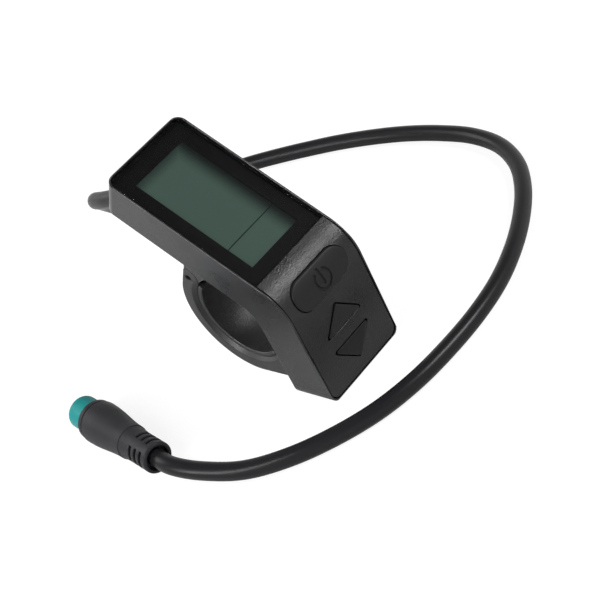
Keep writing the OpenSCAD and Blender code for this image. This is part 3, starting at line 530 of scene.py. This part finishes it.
def drawn_out(piece, share, heading, reach):
    """Moves each point of a piece along a heading by its share of the reach, in millimetres."""
    places = np.empty(3 * len(piece.data.vertices))
    piece.data.vertices.foreach_get("co", places)
    places = places.reshape(-1, 3) / MM
    places += share(places)[:, None] * reach * heading
    piece.data.vertices.foreach_set("co", (places * MM).ravel())
    piece.data.update()


# Each material has its dark and light tone, its roughness, and its grain's width and relief in millimetres

# Injection moulded ABS with an even spark eroded grain, which breaks up its highlights
case_plastic = moulded("abs_case_grained", "151517", "1A1A1C", 0.27, 0.4, 0.025, specular=0.42)
# The strap's ABS is the same with a duller finish
strap_plastic = moulded("abs_strap_dull", "1E1E20", "242426", 0.42, 0.4, 0.03, specular=0.42)
# The key panel's ABS has a deeper grain, which sparkles on the bend. The real grain is finer than a pixel,
# so it is drawn as coarse as it needs to show.
panel_plastic = moulded("abs_panel_grained", "121213", "171718", 0.32, 0.38, 0.085, specular=0.32)
# Elastomer pads of the clamp: matt, nearly black, with a coarse grain
pad_rubber = moulded("rubber_pad_moulded", "1A1A1B", "212122", 0.44, 0.5, 0.14, specular=0.6)
# Soft moulded strain reliefs and the plug's body: matt rubbery polyurethane
plug_plastic = moulded("polyurethane_overmould", "27272A", "2F2F31", 0.46, 0.6, 0.02, specular=0.1)
# The plug's nose: green nylon that lets a little light in, so its shade side stays clear in colour
nose_plastic = moulded("nylon_green_nose", "0F7F7E", "178A88", 0.45, 1.5, 0.01, specular=0.12,
                       subsurface=0.15)
# Screen printed mask ink: dense black, matt
mask_ink = moulded("mask_ink_printed", "070708", "0B0B0C", 0.5, 0.3, 0.002, specular=0.1)
# Black oxide steel of the screw: a dark metal with a soft gleam
screw_steel = moulded("steel_black_oxide", "2E2E30", "3A3A3C", 0.38, 0.3, 0.01, metallic=1.0)
# Oiled drawn steel of the hinge pin: a little brighter, with an even gleam
pin_steel = moulded("steel_drawn_oiled", "3E3E40", "4C4C4E", 0.4, 0.2, 0.005, metallic=1.0)

# The rim beside the key panel, which the facets down the slope leave too thin to round
RIM_T = 0.2
RIM_FROM = 1


def on_facet(place):
    """Whether a place is on a narrow facet down one of the slope's sides, which keeps crisp edges."""
    return (abs(place.x) > CASE_W / 2 - NEAR and place.y < CORNER_YZ[0] + FACET_W
            and place.z < CORNER_YZ[1] - BEND_RUN + NEAR)


def on_thin_rim(place):
    """Whether a place is on the rim beside the key panel."""
    return place.y < CORNER_YZ[0] + FACET_W + RIM_T and place.z < CORNER_YZ[1] - RIM_FROM


def nose_wall(places):
    """How far out each point of the plug's nose goes: 0 up to the floor that the contacts stand in, 1 from
    where the rim's round begins, and even between, so that floor and rim keep their shape."""
    along = places @ INTO_PLUG
    rim = along.max() - NOSE_ROUND
    return np.clip((along - rim) / (NOSE_L - NOSE_ROUND - NOSE_FLOOR) + 1, 0, 1)


def window_edge(places):
    """How far out each point of the mask goes: the window's far edge all the way, the rest not at all."""
    beyond = places @ UP_HEAD - np.array([0, *CORNER_YZ]) @ UP_HEAD - SCREEN_UP - SOLID_WINDOW_L
    return (np.abs(beyond) < NEAR) & (np.abs(places[:, 0]) < WINDOW_W / 2 + NEAR)


# Each node has its slot, its material, and its rounding's width in millimetres
dressed("case_shell", "case_abs", case_plastic, 0.2, 3, on_facet, on_thin_rim)
dressed("front_panel", "panel_abs", panel_plastic, 0.1)
dressed("up_key", "key_abs", key_plastic, 0.12, 3)
dressed("down_key", "key_abs", key_plastic, 0.12, 3)
dressed("strap", "case_abs", strap_plastic, 0.12)
dressed("strap_pad", "pad_rubber", pad_rubber, 0.2)
dressed("saddle_pad", "pad_rubber", pad_rubber, 0.2)
dressed("strain_relief", "seal_rubber", plug_plastic, 0.12)
plug_tail = dressed("plug_body", "plug_black", plug_plastic, 0.14)
plug_tip = dressed("plug_nose", "plug_green", nose_plastic, 0.12)
drawn_out(plug_tip, nose_wall, INTO_PLUG, NOSE_STRETCH)
dressed("clamp_screw", "steel_dark", screw_steel, 0.12)
dressed("hinge_pin", "steel_bright", pin_steel, 0.12)
dressed("lens", "lens_acrylic", window_glass("acrylic_window_tinted"), 0.12)
mask = dressed("lens_mask", "mask_ink", mask_ink, 0)
drawn_out(mask, window_edge, UP_HEAD, WINDOW_L - SOLID_WINDOW_L)

# Nodes that keep their form get the material of the real piece

# Turned brass of the insert and the board's screws: warm and bright, its gleam softened by fine tool marks
brass = moulded("brass_turned", "B08D45", "C4A159", 0.3, 0.2, 0.005, metallic=1.0)
# Acetal stems of the keys: milky white, smooth
acetal = moulded("acetal_stems", "D2CEC2", "E0DCD0", 0.35, 0.8, 0.005)
FINISHES = {
    "front_polariser": screen("liquid_crystal_under_film_painted_shade"),
    # Cell glass under its greenish liquid: glossy and smooth
    "lcd_cell": moulded("cell_glass", "6E7F76", "788A80", 0.12, 2, 0.002, specular=0.5),
    # Brushed reflector film: pale grey green, satin
    "back_polariser": moulded("reflector_film", "8C9A8E", "98A69A", 0.35, 1, 0.002),
    # Polished acrylic light guide: nearly white, glossy
    "light_guide": moulded("acrylic_light_guide", "DCE5DF", "E6EDE8", 0.12, 2, 0.002, specular=0.5),
    # White polycarbonate frame: matt, so that it spreads the light
    "lcd_frame": moulded("polycarbonate_frame_white", "DADAD6", "E6E6E2", 0.5, 0.5, 0.01),
    # Striped silicone contact strip: brick red, dull
    "contact_strip": moulded("silicone_contact_strip", "96453A", "A8503F", 0.6, 0.4, 0.02),
    # Solder mask over glass fibre: green, with a satin coat
    "main_board": moulded("circuit_board_solder_mask", "1C5434", "246A42", 0.35, 0.8, 0.01, specular=0.5),
    # Moulded epoxy of the chip: black and matt
    "controller_chip": moulded("epoxy_chip_body", "19191B", "202022", 0.55, 0.2, 0.01),
    # Small ceramic parts with tinned ends: mixed browns in small clouds
    "board_parts": moulded("ceramic_and_tinned_parts", "5B4B34", "7A6A4C", 0.45, 0.6, 0.01, cloud_mm=3),
    "board_screws": brass,
    # Polyimide film of the flat jumper and the key flex: amber and smooth
    "board_jumper": moulded("polyimide_flat_jumper", "B4762C", "C68A3C", 0.3, 1, 0.004),
    "key_flex": moulded("polyimide_key_flex", "A86A26", "BC7E34", 0.3, 1, 0.004),
    # Moulded ABS carrier: dark grey, matt
    "key_carrier": moulded("abs_carrier", "3A3A3E", "444448", 0.5, 0.5, 0.02),
    # Nylon bodies of the switches: grey, matt
    "key_switches": moulded("nylon_switch_bodies", "444446", "505052", 0.5, 0.4, 0.01),
    "power_stem": acetal,
    "up_stem": acetal,
    "down_stem": acetal,
    # Vinyl jackets of the core wires: red, smooth, uneven in tone
    "core_wires": moulded("pvc_wire_jackets", "A63C30", "BC4A3A", 0.4, 1, 0.01, cloud_mm=2),
    # Silicone bead between panel and case: black, dull
    "panel_seal": moulded("silicone_seal", "1A1A1C", "222224", 0.5, 0.6, 0.01),
    # Nitrile ring in the plug: black, dull
    "plug_seal": moulded("nitrile_seal_ring", "141416", "1B1B1D", 0.5, 0.5, 0.01),
    # Gold plated contacts: bright and warm
    "plug_contacts": moulded("gold_plated_contacts", "C79A3E", "D9B25C", 0.22, 0.2, 0.003, metallic=1.0),
    "clamp_insert": brass,
}
for node, material in FINISHES.items():
    mesh = frame["nodes"][node].data
    mesh.materials.clear()
    mesh.materials.append(material)


# Floor, lamps and world

# The table's even glow and the share of its shadow, to the eye and in what glossy faces mirror
FLOOR_SHADOW, MIRRORED_SHADOW = 0.22, 0.9
FLOOR_GLOW, MIRRORED_GLOW = 0.86, 0.0
FLOOR_TONES = ("E9E9E9", "EFEFEF")
# Patches of the table's tone to the metre, and half its width in metres
FLOOR_PATCHES = 120.0
FLOOR_HALF = 3.0
# The middle of the display, which the lamps look at, in metres
LIT_MIDDLE = np.array([0, 0, 0.01])
# The world's light on the object. It is white, with a grey ceiling from this height of a ray's direction up.
WORLD_LIGHT = 0.36
CEILING_FROM, CEILING_TO = 0.35, 0.75
WALL, CEILING = (1, 1, 1, 1), (0.3, 0.3, 0.3, 1)


def shown_to_eye(tree):
    """1 for camera, glossy and transmission rays, so that they all see the plain white surroundings."""
    path = add(tree, "ShaderNodeLightPath")
    seen = add(tree, "ShaderNodeMath", {"operation": "MAXIMUM"},
               {0: path.outputs["Is Camera Ray"], 1: path.outputs["Is Glossy Ray"]})
    return add(tree, "ShaderNodeMath", {"operation": "MAXIMUM"},
               {0: seen.outputs["Value"], 1: path.outputs["Is Transmission Ray"]}).outputs["Value"]


def studio_floor():
    """A white table: plain diffuse for the light it throws back, and mostly even white to the eye, with
    enough diffuse left in it to keep the object's soft shadow. Glossy faces mirror only its diffuse
    light."""
    material, tree, output = blank("white_table")
    grain = add(tree, "ShaderNodeTexNoise", {"Scale": FLOOR_PATCHES},
                {"Vector": add(tree, "ShaderNodeTexCoord").outputs["Object"]})
    tone = add(tree, "ShaderNodeValToRGB", links={"Fac": grain.outputs["Fac"]})
    for element, code in zip(tone.color_ramp.elements, FLOOR_TONES):
        element.color = srgb(code)
    matt = add(tree, "ShaderNodeBsdfDiffuse", links={"Color": tone.outputs["Color"]})
    eye = add(tree, "ShaderNodeLightPath").outputs["Is Camera Ray"]
    share, level = (add(tree, "ShaderNodeMapRange", {"To Min": mirrored, "To Max": seen}, {"Value": eye})
                    for mirrored, seen in ((MIRRORED_SHADOW, FLOOR_SHADOW), (MIRRORED_GLOW, FLOOR_GLOW)))
    faint = add(tree, "ShaderNodeBsdfDiffuse", links={"Color": share.outputs["Result"]})
    glow = add(tree, "ShaderNodeEmission", links={"Strength": level.outputs["Result"]})
    bright = add(tree, "ShaderNodeAddShader", links={0: faint.outputs["BSDF"], 1: glow.outputs["Emission"]})
    mixed = add(tree, "ShaderNodeMixShader",
                links={0: shown_to_eye(tree), 1: matt.outputs["BSDF"], 2: bright.outputs["Shader"]})
    tree.links.new(mixed.outputs["Shader"], output.inputs["Surface"])
    return material


floor_mesh = bpy.data.meshes.new("table")
floor_corners = np.array([[-1, -1], [1, -1], [1, 1], [-1, 1]]) * FLOOR_HALF
floor_mesh.from_pydata([(x, y, FLOOR_Z * MM) for x, y in floor_corners], [], [(0, 1, 2, 3)])
floor_mesh.materials.append(studio_floor())
table = linked("table", floor_mesh)


def soft_box(name, direction, distance, size, watts, height=None, roll=0.0):
    """An area lamp, square unless it has a height of its own, that looks at the middle of the display from a
    direction, rolled about its line of sight. Distance and size are in metres."""
    lamp = bpy.data.lights.new(name, "AREA")
    lamp.shape = "RECTANGLE"
    lamp.size = size
    lamp.size_y = height or size
    lamp.energy = watts
    back = unit(np.array(direction, float))
    level = unit(np.cross([0, 0, 1], back))
    right = np.cos(roll) * level - np.sin(roll) * np.cross(back, level)
    standing(name, lamp, right, np.cross(back, right), back, LIT_MIDDLE + distance * back)


# A small lamp that the bend mirrors as the bright band under the window
soft_box("key_on_bend", (0.45, -0.6, 0.66), distance=0.7, size=0.17, watts=3.0)
# A strip set so that the long edge between the head's side and its face mirrors it
soft_box("left_edge", (-0.84, 0.01, 0.54), distance=0.7, size=0.12, watts=4.2, height=0.62, roll=radians(31))
# A soft light from behind, which draws the far outlines of the cord and the head
soft_box("back_fill", (-0.3, 0.8, 0.52), distance=0.8, size=0.45, watts=2.6)

world = bpy.data.worlds.new("white_studio")
world.use_nodes = True
sky = world.node_tree
sky.nodes.clear()
strength = add(sky, "ShaderNodeMapRange", {"To Min": WORLD_LIGHT, "To Max": 1.0},
               {"Value": shown_to_eye(sky)})
# The height of the direction that a ray looks in sets the tone between walls and ceiling
looks = add(sky, "ShaderNodeSeparateXYZ",
            links={"Vector": add(sky, "ShaderNodeTexCoord").outputs["Generated"]})
rise = add(sky, "ShaderNodeMapRange",
           {"interpolation_type": "SMOOTHSTEP", "From Min": CEILING_FROM, "From Max": CEILING_TO},
           {"Value": looks.outputs["Z"]})
tone = add(sky, "ShaderNodeMix", {"data_type": "RGBA", 6: WALL, 7: CEILING}, {0: rise.outputs["Result"]})
light = add(sky, "ShaderNodeBackground",
            links={"Color": tone.outputs[2], "Strength": strength.outputs["Result"]})
add(sky, "ShaderNodeOutputWorld", links={"Surface": light.outputs["Background"]})
bpy.context.scene.world = world
bpy.context.scene.view_settings.view_transform = "Standard"
